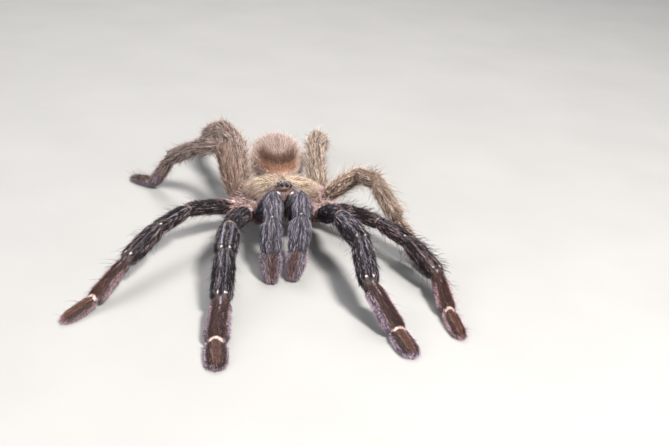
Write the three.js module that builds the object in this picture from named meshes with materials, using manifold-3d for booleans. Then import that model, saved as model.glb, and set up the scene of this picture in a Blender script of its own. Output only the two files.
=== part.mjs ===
// A pink toe tarantula (Avicularia), life size, standing still on all eight feet with its palps held
// forward. Millimetres, +Z up. The spider faces -Y and its own left side is +X. Its feet stand on z = 0.
// Every sub-part is one closed solid that reaches out to the tips of its coat of hair.

import * as THREE from 'three';
import { mergeVertices } from 'three/addons/utils/BufferGeometryUtils.js';
import Module from 'manifold-3d';

const wasm = await Module();
wasm.setup();

// ---------------------------------------------------------------------------------------------------
// Driving dimensions
// ---------------------------------------------------------------------------------------------------

const GAP = 0.3; // clear space between neighbouring sub-parts
const SIDES = 10; // facets round a limb

const SEGMENT_NAMES = ['femur', 'patella', 'tibia', 'metatarsus', 'tarsus'];
const PALP_NAMES = ['femur', 'patella', 'tibia', 'tarsus'];

// The prosoma is modelled level about the middle of its rim, then raised and tilted nose up.
const PROSOMA = { height: 8.4, noseUp: 6 };

const CARAPACE = {
  halfLength: 8.3,
  halfWidth: 7.1,
  headNarrowing: 0.3, // the head region is this much narrower than the thorax
  rim: 0.6, // depth of the shield below its rim
  squareness: 2.5,
  // heights over the rim, from the front edge over the head and the fovea to the rear edge
  crest: [2.4, 3.3, 3.5, 3.2, 2.7, 2.3, 1.7, 0.7],
};

const TUBERCLE = { y: -6.7, z: 2.95, halfLength: 1.15, halfWidth: 1.45, height: 1.0 };
// The eight eyes: side, forward and height places on the tubercle, and radius.
const EYES = {
  anteriorMedian: { x: 0.56, y: -0.96, z: 0.44, radius: 0.35 },
  anteriorLateral: { x: 1.24, y: -0.64, z: 0.26, radius: 0.33 },
  posteriorLateral: { x: 1.32, y: 0.02, z: 0.38, radius: 0.27 },
  posteriorMedian: { x: 0.86, y: -0.16, z: 0.76, radius: 0.24 },
};

const STERNUM = { halfLength: 6.6, halfWidth: 4.6, halfHeight: 1.7, z: -3.1 };
const COXA = { z: -3.0, girth: 2.1, trochanterGirth: 1.65, sides: 8 };

const CHELICERA = { x: 1.75, y: -10.7, z: -0.1, halfWidth: 1.6, halfLength: 4.1, halfHeight: 2.8, droop: 28 };
const FANG = { x: 1.45, y: -13.0, z: -4.3, length: 4.4, root: 0.55, tip: 0.26, curl: 0.9 };

const ABDOMEN = { y: 18.9, z: 7.4, halfLength: 9.7, halfWidth: 6.2, halfHeight: 5.7, swell: 0.1 };
const PEDICEL = { radius: 1.0, from: 5.0, to: 11.0, z: 5.6 };
// articles: length and radius of each
const SPINNERET = {
  x: 1.5, y: 27.5, z: 5.2, articles: [[1.6, 0.72], [1.3, 0.6], [1.5, 0.5]], splay: 12, lift: 8,
};

// Where each limb's coxa starts beside the sternum, and where its trochanter ends, on the left side.
const HIPS = {
  palp: { root: [2.8, -3.9], end: [5.0, -8.0, -3.2] },
  leg_1: { root: [2.6, -3.6], end: [7.7, -6.3, -3.2] },
  leg_2: { root: [3.0, -1.6], end: [10.0, -2.6, -3.0] },
  leg_3: { root: [3.0, 1.6], end: [9.8, 2.2, -1.8] },
  leg_4: { root: [2.6, 4.2], end: [8.2, 6.2, -1.8] },
};

// Segment lengths, from the femur to the tip of the claw tuft.
const LENGTHS = {
  palp: [8.4, 6.0, 6.3, 5.5],
  leg_1: [13.9, 9.1, 10.8, 10.0, 6.9],
  leg_2: [13.2, 8.5, 10.2, 10.0, 7.4],
  leg_3: [10.8, 6.5, 8.4, 9.2, 6.9],
  leg_4: [13.0, 7.2, 11.0, 12.2, 7.1],
};

// Width and height of each segment at its widest, coat included.
const GIRTHS = {
  palp: { femur: [2.6, 3.0], patella: [3.6, 3.6], tibia: [4.6, 4.0], tarsus: [4.7, 3.4] },
  leg_1: {
    femur: [4.1, 4.2], patella: [4.6, 4.1], tibia: [4.4, 4.1],
    metatarsus: [4.6, 3.5], tarsus: [4.2, 3.0],
  },
  leg_2: {
    femur: [3.4, 3.5], patella: [3.5, 3.2], tibia: [4.0, 3.8],
    metatarsus: [3.7, 3.0], tarsus: [3.3, 2.6],
  },
  leg_3: {
    femur: [3.5, 3.7], patella: [3.4, 3.4], tibia: [3.7, 3.5],
    metatarsus: [3.4, 3.0], tarsus: [3.2, 2.4],
  },
  leg_4: {
    femur: [4.4, 4.4], patella: [3.9, 3.8], tibia: [3.8, 3.6],
    metatarsus: [3.3, 3.0], tarsus: [3.2, 2.4],
  },
};

// Outline of each segment: place along it and share of its full girth there.
const PROFILES = {
  femur: [[0, 0.78], [0.12, 0.93], [0.38, 1], [0.68, 0.97], [0.9, 0.93], [1, 0.8]],
  patella: [[0, 0.82], [0.16, 0.95], [0.5, 1], [0.84, 0.95], [1, 0.82]],
  tibia: [[0, 0.8], [0.12, 0.92], [0.4, 1], [0.7, 0.99], [0.9, 0.92], [1, 0.8]],
  metatarsus: [[0, 0.78], [0.14, 0.88], [0.55, 1], [0.9, 0.97], [1, 0.84]],
  tarsus: [[0, 0.82], [0.16, 0.97], [0.46, 1], [0.74, 0.94], [0.92, 0.68], [1, 0]],
  palp_patella: [[0, 0.88], [0.14, 0.98], [0.5, 1], [0.84, 0.94], [1, 0.78]],
  palp_tibia: [[0, 0.74], [0.14, 0.9], [0.42, 1], [0.72, 0.97], [0.9, 0.84], [1, 0.7]],
  palp_tarsus: [[0, 0.78], [0.12, 1], [0.36, 0.98], [0.62, 0.86], [0.86, 0.6], [1, 0]],
};
const FEMUR_BOW = 0.35; // rise of the femur's middle over its straight line

// The pose. turn: heading of each segment in degrees from straight out to the side, forward positive.
// lift: slope of the segments above the ankle. ankle: height of the metatarsus' far end.
const TOE_HEIGHT = 0.45; // height of the centre line at the tip of every foot
const POSES = {
  palp_right: { turn: [115, 88, 84, 94], lift: [50, -26, -56] },
  palp_left: { turn: [113, 94, 101, 114], lift: [50, -18, -57] },
  leg_1_right: { turn: [76, 85, 86, 85, 90], lift: [12, -6, -21], ankle: 1.1 },
  leg_1_left: { turn: [79, 73, 88, 58, 77], lift: [22, -7, -16], ankle: 1.2 },
  leg_2_right: { turn: [45, 52, 61, 53, 53], lift: [14, -6, -12], ankle: 1.5 },
  leg_2_left: { turn: [49, 58, 66, 86, 84], lift: [6, -3, -13], ankle: 1.4 },
  leg_3_right: { turn: [-65, -36, -41, -43, -43], lift: [52, -15, -30], ankle: 1.6 },
  leg_3_left: { turn: [46, 68, 31, 51, 68], lift: [42, 10, -53], ankle: 1.6 },
  leg_4_right: { turn: [-85, -64, -72, -81, -81], lift: [32, 7, -26], ankle: 1.5 },
  leg_4_left: { turn: [-90, -79, -79, -83, -87], lift: [24, -1, -27], ankle: 1.5 },
};

const COLOURS = {
  leg: 0x3a2e30,
  foot: 0x6b5148,
  palp: 0x4a4448,
  carapace: 0x9a7a52,
  underside: 0x7d6257,
  eyes: 0x0b0a0b,
  chelicera: 0x33343a,
  fang: 0x140c0b,
  abdomen: 0x7a6250,
  spinneret: 0x5c4a42,
};

// ---------------------------------------------------------------------------------------------------
// Geometry helpers
// ---------------------------------------------------------------------------------------------------

const radians = THREE.MathUtils.degToRad;

// Moves every vertex of a geometry with a function of its place.
function deform(geometry, move) {
  const places = geometry.getAttribute('position');
  const vertex = new THREE.Vector3();
  for (let i = 0; i < places.count; i += 1) {
    vertex.fromBufferAttribute(places, i);
    move(vertex);
    places.setXYZ(i, vertex.x, vertex.y, vertex.z);
  }
  return geometry;
}

// A closed, indexed mesh that holds only positions, with its faces pointing out.
function closed(geometry) {
  const bare = geometry.clone();
  bare.deleteAttribute('normal');
  bare.deleteAttribute('uv');
  const merged = mergeVertices(bare, 1e-4);
  const places = merged.getAttribute('position');
  const index = Array.from(merged.getIndex().array);
  const corner = [new THREE.Vector3(), new THREE.Vector3(), new THREE.Vector3()];
  const kept = [];
  let volume = 0;
  for (let i = 0; i < index.length; i += 3) {
    const face = index.slice(i, i + 3);
    if (new Set(face).size === 3) {
      face.forEach((at, k) => corner[k].fromBufferAttribute(places, at));
      volume += corner[0].dot(corner[1].clone().cross(corner[2]));
      kept.push(face);
    }
  }
  merged.setIndex(kept.flatMap((face) => (volume > 0 ? face : face.reverse())));
  return merged;
}

function solid(geometry) {
  const mesh = closed(geometry);
  return new wasm.Manifold(new wasm.Mesh({
    numProp: 3,
    vertProperties: new Float32Array(mesh.getAttribute('position').array),
    triVerts: new Uint32Array(mesh.getIndex().array),
  }));
}

function surface(manifold) {
  const mesh = manifold.getMesh();
  const geometry = new THREE.BufferGeometry();
  geometry.setAttribute('position', new THREE.BufferAttribute(new Float32Array(mesh.vertProperties), 3));
  geometry.setIndex(Array.from(mesh.triVerts));
  return geometry;
}

function cutBy(geometry, ...tools) {
  return surface(tools.reduce((body, tool) => body.subtract(solid(tool)), solid(geometry)));
}

// A unit ball whose poles lie on the Z axis.
function ball(across, along) {
  return new THREE.SphereGeometry(1, across, along).rotateX(Math.PI / 2);
}

// Reads a smooth curve through evenly spaced values, at a share from 0 to 1.
function smoothValue(values, share) {
  const points = values.map((value, i) => new THREE.Vector2(i, value));
  return new THREE.SplineCurve(points).getPoint(THREE.MathUtils.clamp(share, 0, 1)).y;
}

const prosomaFrame = new THREE.Matrix4()
  .makeRotationX(radians(-PROSOMA.noseUp))
  .premultiply(new THREE.Matrix4().makeTranslation(0, 0, PROSOMA.height));

// ---------------------------------------------------------------------------------------------------
// Limbs
// ---------------------------------------------------------------------------------------------------

function heading(side, turn, rise) {
  const flat = Math.sqrt(1 - rise * rise);
  return new THREE.Vector3(side * Math.cos(turn) * flat, -Math.sin(turn) * flat, rise);
}

// The joints of one limb, from the hip to the tip. The last segments come down to the set heights.
function limbJoints(limb, side, pose) {
  const lengths = LENGTHS[limb];
  const hip = HIPS[limb].end;
  const joints = [new THREE.Vector3(side * hip[0], hip[1], hip[2]).applyMatrix4(prosomaFrame)];
  lengths.forEach((length, i) => {
    const start = joints[i];
    let rise = Math.sin(radians(pose.lift[i] ?? 0));
    if (i === lengths.length - 1) rise = (TOE_HEIGHT - start.z) / length;
    else if (i >= pose.lift.length) rise = (pose.ankle - start.z) / length;
    joints.push(start.clone().addScaledVector(heading(side, radians(pose.turn[i]), rise), length));
  });
  return joints;
}

// One segment as a turned outline, squeezed to its width and height, with each end cut on the plane
// that halves the angle to its neighbour. Its own Y axis runs from joint to joint.
function segmentGeometry(profile, length, [wide, tall], mitres, bow, grow = 0) {
  const near = GAP / 2 - grow;
  const far = length - GAP / 2 + grow;
  const outline = profile.map(([share, girth]) => new THREE.Vector2(girth, near + share * (far - near)));
  outline.unshift(new THREE.Vector2(0, near));
  if (outline.at(-1).x > 0) outline.push(new THREE.Vector2(0, far));
  const geometry = new THREE.LatheGeometry(outline, SIDES);
  return deform(geometry, (v) => {
    const share = THREE.MathUtils.clamp(v.y / length, 0, 1);
    v.x *= wide / 2 + grow;
    v.z *= tall / 2 + grow;
    const nearPull = Math.max(0, 1 - share / 0.45);
    const farPull = Math.max(0, 1 - (1 - share) / 0.45);
    const [nearCut, farCut] = mitres.map((slope) => slope.x * v.x + slope.y * v.z);
    v.y += nearPull * nearCut + farPull * farCut;
    v.z += bow * Math.sin(Math.PI * share);
  });
}

// Turns a segment's Y axis to its heading and keeps its Z axis as upright as it can be.
function segmentFrame(start, end) {
  const along = end.clone().sub(start).normalize();
  const across = along.clone().cross(new THREE.Vector3(0, 0, 1)).normalize();
  const up = across.clone().cross(along);
  return new THREE.Matrix4().makeBasis(across, along, up).setPosition(start);
}

// Slopes of the cut between two segments, seen in the frame of the one that is cut.
function mitre(frame, towards, along) {
  if (!towards) return new THREE.Vector2(0, 0);
  const normal = towards.clone().add(along).normalize();
  const turned = normal.transformDirection(frame.clone().invert());
  return new THREE.Vector2(-turned.x / turned.y, -turned.z / turned.y);
}

// Flattens what would sink below the floor on to it, as a foot pad is.
function standOnFloor(geometry, frame) {
  const back = frame.clone().invert();
  return deform(geometry, (v) => {
    v.applyMatrix4(frame);
    v.z = Math.max(v.z, 0);
    v.applyMatrix4(back);
  });
}

function limbSegments(limb, side, pose, grow = 0) {
  const names = limb === 'palp' ? PALP_NAMES : SEGMENT_NAMES;
  const joints = limbJoints(limb, side, pose);
  const along = names.map((_, i) => joints[i + 1].clone().sub(joints[i]).normalize());
  return names.map((name, i) => {
    const frame = segmentFrame(joints[i], joints[i + 1]);
    const mitres = [mitre(frame, along[i - 1], along[i]), mitre(frame, along[i + 1], along[i])];
    const bow = name === 'femur' ? FEMUR_BOW : 0;
    const length = LENGTHS[limb][i];
    const profile = PROFILES[`${limb}_${name}`] ?? PROFILES[name];
    const geometry = segmentGeometry(profile, length, GIRTHS[limb][name], mitres, bow, grow);
    return { name, frame, geometry: standOnFloor(geometry, frame) };
  });
}

// ---------------------------------------------------------------------------------------------------
// Prosoma, in its own level frame
// ---------------------------------------------------------------------------------------------------

function carapaceGeometry(grow = 0) {
  const { halfLength, halfWidth, headNarrowing, rim, squareness, crest } = CARAPACE;
  return deform(ball(20, 10), (v) => {
    const reach = Math.hypot(v.x, v.y);
    const square = (Math.abs(v.x) ** squareness + Math.abs(v.y) ** squareness) ** (1 / squareness);
    const spread = square > 0 ? reach / square : 1;
    const across = v.x * spread;
    const back = v.y * spread;
    const narrow = 1 - headNarrowing * THREE.MathUtils.smoothstep(-back, -0.1, 0.85);
    v.x = across * (halfWidth * narrow + grow);
    v.y = back * (halfLength + grow);
    const top = smoothValue(crest, (back + 1) / 2) + grow;
    v.z = v.z > 0 ? top * v.z ** 0.9 : v.z * (rim + grow);
  });
}

function tubercleGeometry(grow = 0) {
  const { y, z, halfLength, halfWidth, height } = TUBERCLE;
  return deform(ball(12, 6), (v) => {
    v.x *= halfWidth + grow;
    v.y *= halfLength + grow;
    v.z *= height + grow;
  }).translate(0, y, z);
}

// The tubercle with its eight eyes joined to it.
function eyeGroupGeometry() {
  let group = solid(tubercleGeometry());
  for (const eye of Object.values(EYES)) {
    for (const side of [-1, 1]) {
      const lens = new THREE.SphereGeometry(eye.radius, 7, 4);
      lens.translate(side * eye.x, TUBERCLE.y + eye.y, TUBERCLE.z + eye.z);
      group = group.add(solid(lens));
    }
  }
  return surface(group);
}

function sternumGeometry(grow = 0) {
  const { halfLength, halfWidth, halfHeight, z } = STERNUM;
  return ball(12, 6).scale(halfWidth + grow, halfLength + grow, halfHeight + grow).translate(0, 0, z);
}

// The outline of a coxa and its trochanter, out to the hip.
function coxaOutline(length, grow) {
  const full = COXA.girth + grow;
  const last = COXA.trochanterGirth + grow;
  const end = length - GAP / 2 + grow;
  const outline = [[0, 0], [full * 0.8, 0], [full, 0.35 * end], [full * 0.95, 0.62 * end]];
  outline.push([last, 0.8 * end], [last * 0.85, end], [0, end]);
  return outline.map(([radius, along]) => new THREE.Vector2(radius, along));
}

// Sternum, labium and the ten coxae with their trochanters, joined into the body's floor.
function coxaeGeometry(grow = 0) {
  let body = solid(sternumGeometry(grow));
  for (const { root, end } of Object.values(HIPS)) {
    for (const side of [-1, 1]) {
      const inner = new THREE.Vector3(side * root[0], root[1], COXA.z);
      const outer = new THREE.Vector3(side * end[0], end[1], end[2]);
      const coxa = new THREE.LatheGeometry(coxaOutline(outer.distanceTo(inner), grow), COXA.sides);
      body = body.add(solid(coxa.applyMatrix4(segmentFrame(inner, outer))));
    }
  }
  return surface(body);
}

function cheliceraGeometry(side, grow = 0) {
  const { x, y, z, halfWidth, halfLength, halfHeight, droop } = CHELICERA;
  return deform(ball(11, 7), (v) => {
    const swell = 1 - 0.12 * v.y;
    v.x *= (halfWidth + grow) * swell;
    v.z *= (halfHeight + grow) * swell;
    v.y *= halfLength + grow;
  }).rotateX(radians(droop)).translate(side * x, y, z);
}

// A fang folded back under its chelicera.
function fangGeometry(side) {
  const { x, y, z, length, root, tip, curl } = FANG;
  const shares = [0, 0.35, 0.7, 1];
  const outline = shares.map((share) => new THREE.Vector2(root + (tip - root) * share, share * length));
  outline.unshift(new THREE.Vector2(0, 0));
  outline.push(new THREE.Vector2(0, length));
  return deform(new THREE.LatheGeometry(outline, 8), (v) => {
    const share = v.y / length;
    v.z -= curl * 4 * share * (1 - share);
  }).translate(side * x, y, z);
}

// ---------------------------------------------------------------------------------------------------
// Opisthosoma, in the world
// ---------------------------------------------------------------------------------------------------

function abdomenGeometry(grow = 0) {
  const { y, z, halfLength, halfWidth, halfHeight, swell } = ABDOMEN;
  return deform(new THREE.SphereGeometry(1, 18, 11), (v) => {
    const fat = 1 + swell * v.y;
    v.x *= (halfWidth + grow) * fat;
    v.z *= (halfHeight + grow) * fat;
    v.y *= halfLength + grow;
  }).translate(0, y, z);
}

function pedicelGeometry() {
  const length = PEDICEL.to - PEDICEL.from;
  const stalk = new THREE.CylinderGeometry(PEDICEL.radius, PEDICEL.radius, length, 12, 2);
  return stalk.translate(0, (PEDICEL.from + PEDICEL.to) / 2, PEDICEL.z);
}

function spinneretGeometry(side) {
  const outline = [new THREE.Vector2(0, 0)];
  let along = 0;
  for (const [length, radius] of SPINNERET.articles) {
    outline.push(new THREE.Vector2(radius * 0.86, along));
    outline.push(new THREE.Vector2(radius, along + length * 0.5));
    along += length;
  }
  const last = SPINNERET.articles.at(-1)[1];
  outline.push(new THREE.Vector2(last * 0.7, along), new THREE.Vector2(0, along + last * 0.3));
  return new THREE.LatheGeometry(outline, 8)
    .rotateX(radians(SPINNERET.lift))
    .rotateZ(radians(-side * SPINNERET.splay))
    .translate(side * SPINNERET.x, SPINNERET.y, SPINNERET.z);
}

// ---------------------------------------------------------------------------------------------------
// The whole animal
// ---------------------------------------------------------------------------------------------------

const group = new THREE.Group();
const prosoma = new THREE.Group();
prosoma.applyMatrix4(prosomaFrame);
group.add(prosoma);

function add(parent, name, geometry, colour, roughness = 0.75) {
  const material = new THREE.MeshStandardMaterial({ color: colour, roughness, metalness: 0 });
  const mesh = new THREE.Mesh(closed(geometry), material);
  mesh.name = name;
  parent.add(mesh);
  return mesh;
}

function inWorld(geometry) {
  return geometry.applyMatrix4(prosomaFrame);
}

function inProsoma(geometry) {
  return geometry.applyMatrix4(prosomaFrame.clone().invert());
}

const sides = { right: -1, left: 1 };
const shieldClearance = carapaceGeometry(GAP);
const coxaeClearance = coxaeGeometry(GAP);
const bodyClearance = [shieldClearance, coxaeClearance].map((tool) => inWorld(tool.clone()));

// A limb segment cut clear of the prosoma, still in its own frame.
function clearOfBody({ geometry, frame }) {
  const placed = geometry.clone().applyMatrix4(frame);
  return cutBy(placed, ...bodyClearance).applyMatrix4(frame.clone().invert());
}

// Limbs
for (const [sideName, side] of Object.entries(sides)) {
  for (const limb of Object.keys(HIPS)) {
    for (const segment of limbSegments(limb, side, POSES[`${limb}_${sideName}`])) {
      const isFoot = segment.name === 'metatarsus' || segment.name === 'tarsus';
      const colour = limb === 'palp' ? COLOURS.palp : isFoot ? COLOURS.foot : COLOURS.leg;
      const geometry = segment.name === 'femur' ? clearOfBody(segment) : segment.geometry;
      add(group, `${limb}_${sideName}_${segment.name}`, geometry, colour).applyMatrix4(segment.frame);
    }
  }
}

// Prosoma
add(prosoma, 'carapace', cutBy(carapaceGeometry(), tubercleGeometry(GAP)), COLOURS.carapace);
add(prosoma, 'eyes', eyeGroupGeometry(), COLOURS.eyes, 0.1);
add(prosoma, 'coxae', cutBy(coxaeGeometry(), shieldClearance), COLOURS.underside);
for (const [sideName, side] of Object.entries(sides)) {
  const grownPalp = limbSegments('palp', side, POSES[`palp_${sideName}`], GAP).slice(0, 2);
  const palpClearance = grownPalp.map(({ geometry, frame }) => inProsoma(geometry.applyMatrix4(frame)));
  const chelicera = cutBy(cheliceraGeometry(side), shieldClearance, coxaeClearance, ...palpClearance);
  add(prosoma, `chelicera_${sideName}`, chelicera, COLOURS.chelicera, 0.5);
  add(prosoma, `fang_${sideName}`, fangGeometry(side), COLOURS.fang, 0.25);
}

// Opisthosoma
add(group, 'abdomen', abdomenGeometry(), COLOURS.abdomen);
const pedicel = cutBy(pedicelGeometry(), abdomenGeometry(GAP), inWorld(sternumGeometry(GAP)));
add(group, 'pedicel', pedicel, COLOURS.underside);
for (const [sideName, side] of Object.entries(sides)) {
  const spinneret = cutBy(spinneretGeometry(side), abdomenGeometry(GAP));
  add(group, `spinneret_${sideName}`, spinneret, COLOURS.spinneret);
}

// The origin is on the floor, below the middle of the space that the animal takes up.
const box = new THREE.Box3().setFromObject(group, true);
group.position.set(-(box.min.x + box.max.x) / 2, -(box.min.y + box.max.y) / 2, 0);

export default group;
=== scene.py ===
"""The looks of a life-size pink toe tarantula: one skin over the whole body, its coat of hair as thin
solid tufts, eyes, fangs and claws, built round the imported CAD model.

Lengths are in millimetres in the spider's own frame (it faces -Y, its left side is +X and its feet
stand on z = 0) until place() turns them into metres in the row frame.
"""

from dataclasses import dataclass

import bpy
import numpy as np
from mathutils import Matrix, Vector
from mathutils.kdtree import KDTree


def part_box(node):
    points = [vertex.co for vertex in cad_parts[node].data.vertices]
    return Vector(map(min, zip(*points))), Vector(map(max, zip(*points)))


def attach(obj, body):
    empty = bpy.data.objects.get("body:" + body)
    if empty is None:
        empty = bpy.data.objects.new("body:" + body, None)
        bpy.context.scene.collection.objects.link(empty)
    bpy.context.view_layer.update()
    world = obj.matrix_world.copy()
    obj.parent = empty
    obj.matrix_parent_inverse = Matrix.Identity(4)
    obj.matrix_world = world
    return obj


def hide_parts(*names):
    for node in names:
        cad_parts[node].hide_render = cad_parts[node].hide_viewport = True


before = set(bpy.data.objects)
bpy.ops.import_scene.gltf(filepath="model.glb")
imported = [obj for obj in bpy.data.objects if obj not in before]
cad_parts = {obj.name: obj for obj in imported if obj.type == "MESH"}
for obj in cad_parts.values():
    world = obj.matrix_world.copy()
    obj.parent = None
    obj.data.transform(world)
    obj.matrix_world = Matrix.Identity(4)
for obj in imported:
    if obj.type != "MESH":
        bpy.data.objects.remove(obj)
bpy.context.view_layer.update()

# ---------- Dimensions, as in the CAD model ----------

MM = 0.001
SIDES = {"right": -1, "left": 1}
LEG_SEGMENTS = ("femur", "patella", "tibia", "metatarsus", "tarsus")
PALP_SEGMENTS = ("femur", "patella", "tibia", "tarsus")

PROSOMA_HEIGHT = 8.4
PROSOMA_NOSE_UP = 6.0

CARAPACE = {"half_length": 8.3, "half_width": 7.1, "head_narrowing": 0.3, "rim": 0.6, "squareness": 2.5}
CREST = (2.4, 3.3, 3.5, 3.2, 2.7, 2.3, 1.7, 0.7)
TUBERCLE = {"y": -6.7, "z": 2.95, "half": (1.45, 1.15, 1.0)}
# Places of the lenses on the mound and their radii; each one is there on both sides.
EYES = {
    "anterior_median": (0.56, -0.96, 0.42, 0.37),
    "anterior_lateral": (1.34, -0.64, 0.18, 0.3),
    "posterior_lateral": (1.3, 0.3, 0.36, 0.22),
    "posterior_median": (0.72, 0.16, 0.84, 0.2),
}
STERNUM = {"half": (4.6, 6.6, 1.7), "z": -3.1}
COXA = {"z": -3.0, "girth": 2.1}
CHELICERA = {"x": 1.75, "y": -10.7, "z": -0.1, "half": (1.6, 4.1, 2.8), "droop": 28, "swell": 0.12}
FANG = {"x": 1.45, "y": -13.0, "z": -4.3, "length": 4.4, "root": 0.55, "curl": 0.9}
ABDOMEN = {"y": 18.9, "z": 7.4, "half": (6.2, 9.7, 5.7), "swell": 0.1}
PEDICEL = {"radius": 1.0, "from": 5.0, "to": 11.0, "z": 5.6}
SPINNERET = {"x": 1.5, "y": 27.5, "z": 5.2, "length": 4.4, "radius": 0.72, "splay": 12, "lift": 8}

HIPS = {
    "palp": ((2.8, -3.9), (5.0, -8.0, -3.2)),
    "leg_1": ((2.6, -3.6), (7.7, -6.3, -3.2)),
    "leg_2": ((3.0, -1.6), (10.0, -2.6, -3.0)),
    "leg_3": ((3.0, 1.6), (9.8, 2.2, -1.8)),
    "leg_4": ((2.6, 4.2), (8.2, 6.2, -1.8)),
}
LENGTHS = {
    "palp": (8.4, 6.0, 6.3, 5.5),
    "leg_1": (13.9, 9.1, 10.8, 10.0, 6.9),
    "leg_2": (13.2, 8.5, 10.2, 10.0, 7.4),
    "leg_3": (10.8, 6.5, 8.4, 9.2, 6.9),
    "leg_4": (13.0, 7.2, 11.0, 12.2, 7.1),
}
# Width and height of each segment at its widest, coat included.
GIRTHS = {
    "palp": ((2.6, 3.0), (3.6, 3.6), (4.6, 4.0), (4.7, 3.4)),
    "leg_1": ((4.1, 4.2), (4.6, 4.1), (4.4, 4.1), (4.6, 3.5), (4.2, 3.0)),
    "leg_2": ((3.4, 3.5), (3.5, 3.2), (4.0, 3.8), (3.7, 3.0), (3.3, 2.6)),
    "leg_3": ((3.5, 3.7), (3.4, 3.4), (3.7, 3.5), (3.4, 3.0), (3.2, 2.4)),
    "leg_4": ((4.4, 4.4), (3.9, 3.8), (3.8, 3.6), (3.3, 3.0), (3.2, 2.4)),
}
FEMUR_BOW = 0.35
TOE_HEIGHT = 0.45
# The pose: heading of each segment from straight out to the side, slope of the ones above the ankle,
# and height of the ankle.
POSES = {
    "palp_right": ((115, 88, 84, 94), (50, -26, -56), None),
    "palp_left": ((113, 94, 101, 114), (50, -18, -57), None),
    "leg_1_right": ((76, 85, 86, 85, 90), (12, -6, -21), 1.1),
    "leg_1_left": ((79, 73, 88, 58, 77), (22, -7, -16), 1.2),
    "leg_2_right": ((45, 52, 61, 53, 53), (14, -6, -12), 1.5),
    "leg_2_left": ((49, 58, 66, 86, 84), (6, -3, -13), 1.4),
    "leg_3_right": ((-65, -36, -41, -43, -43), (52, -15, -30), 1.6),
    "leg_3_left": ((46, 68, 31, 51, 68), (42, 10, -53), 1.6),
    "leg_4_right": ((-85, -64, -72, -81, -81), (32, 7, -26), 1.5),
    "leg_4_left": ((-90, -79, -79, -83, -87), (24, -1, -27), 1.5),
}

# How deep the coat is over each segment: the skin lies that far inside the CAD solids.
COAT_DEPTH = {"femur": 0.4, "patella": 0.35, "tibia": 0.38, "metatarsus": 0.45, "tarsus": 0.42}
BODY_COAT = {"carapace": 0.25, "abdomen": 1.0, "coxa": 0.3, "sternum": 0.3, "chelicera": 0.22}
PAD_HEIGHT = 0.3  # how far the skin of a foot stays over the floor, on its pad of hair

# Outlines of the skin of each segment: place along it, and share of its full girth there.
OUTLINES = {
    "femur": ((0, 0.74), (0.06, 0.86), (0.2, 0.96), (0.4, 1), (0.7, 0.96), (0.9, 0.9), (0.97, 0.82),
              (1, 0.74)),
    "patella": ((0, 0.72), (0.08, 0.86), (0.3, 0.98), (0.6, 1), (0.88, 0.95), (0.96, 0.85), (1, 0.74)),
    "tibia": ((0, 0.72), (0.06, 0.86), (0.25, 0.98), (0.5, 1), (0.8, 0.97), (0.93, 0.9), (1, 0.74)),
    "metatarsus": ((0, 0.74), (0.06, 0.8), (0.3, 0.92), (0.6, 0.98), (0.88, 1), (0.95, 0.92), (1, 0.78)),
    "tarsus": ((0, 0.74), (0.08, 0.88), (0.3, 0.99), (0.6, 1), (0.82, 0.9), (0.94, 0.62), (0.985, 0.3),
               (1, 0.02)),
    "palp_patella": ((0, 0.56), (0.1, 0.78), (0.25, 0.94), (0.6, 1), (0.85, 0.94), (0.96, 0.82), (1, 0.68)),
    "palp_tibia": ((0, 0.62), (0.08, 0.8), (0.3, 0.97), (0.5, 1), (0.75, 0.95), (0.9, 0.82), (1, 0.62)),
    "palp_tarsus": ((0, 0.64), (0.08, 0.9), (0.2, 1), (0.4, 0.96), (0.62, 0.84), (0.84, 0.62), (0.96, 0.34),
                    (1, 0.02)),
}

# The camera, by the photo's frame of 669 x 446 pixels.
IMAGE_WIDTH = 669
CAMERA = {"target": (10.2, -9.3, 5.3), "distance": 201.0, "azimuth": 7.6, "elevation": 24.1, "roll": 3.8}
FOCAL_PIXELS = 1000
SENSOR = 36.0

# ---------- Colours, as sRGB values from 0 to 255 ----------

COLOURS = {
    "front_dark": (31, 24, 28),
    "front_pale": (186, 170, 174),
    "front_skin": (30, 26, 29),
    "palp_dark": (82, 77, 86),
    "palp_pale": (192, 184, 200),
    "palp_skin": (48, 46, 52),
    "palp_foot": (160, 142, 154),
    "rear_dark": (128, 101, 88),
    "rear_pale": (240, 216, 202),
    "rear_skin": (110, 84, 70),
    "stripe": (76, 72, 84),
    # a pale painted highlight on the front legs' bare lines
    "stripe_painted_highlight": (158, 156, 176),
    "rear_stripe": (106, 84, 72),
    "membrane": (206, 176, 168),
    "foot_dark": (56, 40, 38),
    "foot_rust": (112, 70, 56),
    "foot_tan": (176, 134, 112),
    "foot_skin": (62, 42, 36),
    "scopula": (216, 194, 206),
    "scopula_dark": (104, 84, 92),
    "carapace_dark": (146, 110, 80),
    "carapace_pale": (255, 234, 210),
    # pinker hair at the carapace's sides, and the base of the painted light on its dark tufts there
    "carapace_side_pinker_and_lit": (255, 224, 204),
    "carapace_skin": (110, 80, 64),
    "coxa_dark": (122, 92, 82),
    "coxa_pale": (250, 222, 216),
    "coxa_skin": (120, 90, 80),
    "sternum": (96, 70, 60),
    "abdomen_dark": (184, 154, 140),
    "abdomen_pale": (244, 218, 206),
    "abdomen_orange": (174, 114, 68),
    "abdomen_brown": (98, 54, 20),
    "abdomen_skin": (172, 142, 128),
    "chelicera": (62, 62, 66),
    "chelicera_pale": (160, 154, 160),
    "face_red": (128, 86, 78),
    "clypeus": (206, 168, 156),
    "mound": (56, 44, 42),
    "spinneret": (96, 76, 66),
    "eye_hair": (206, 196, 202),
    # pale bare spots at the leg joints; on the chelicerae the same colour is a painted highlight
    "spot": (246, 230, 226),
    # a painted highlight on the glossy bump of each chelicera
    "boss_painted_highlight": (238, 212, 214),
    "hip_knob": (206, 184, 196),
}


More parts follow.
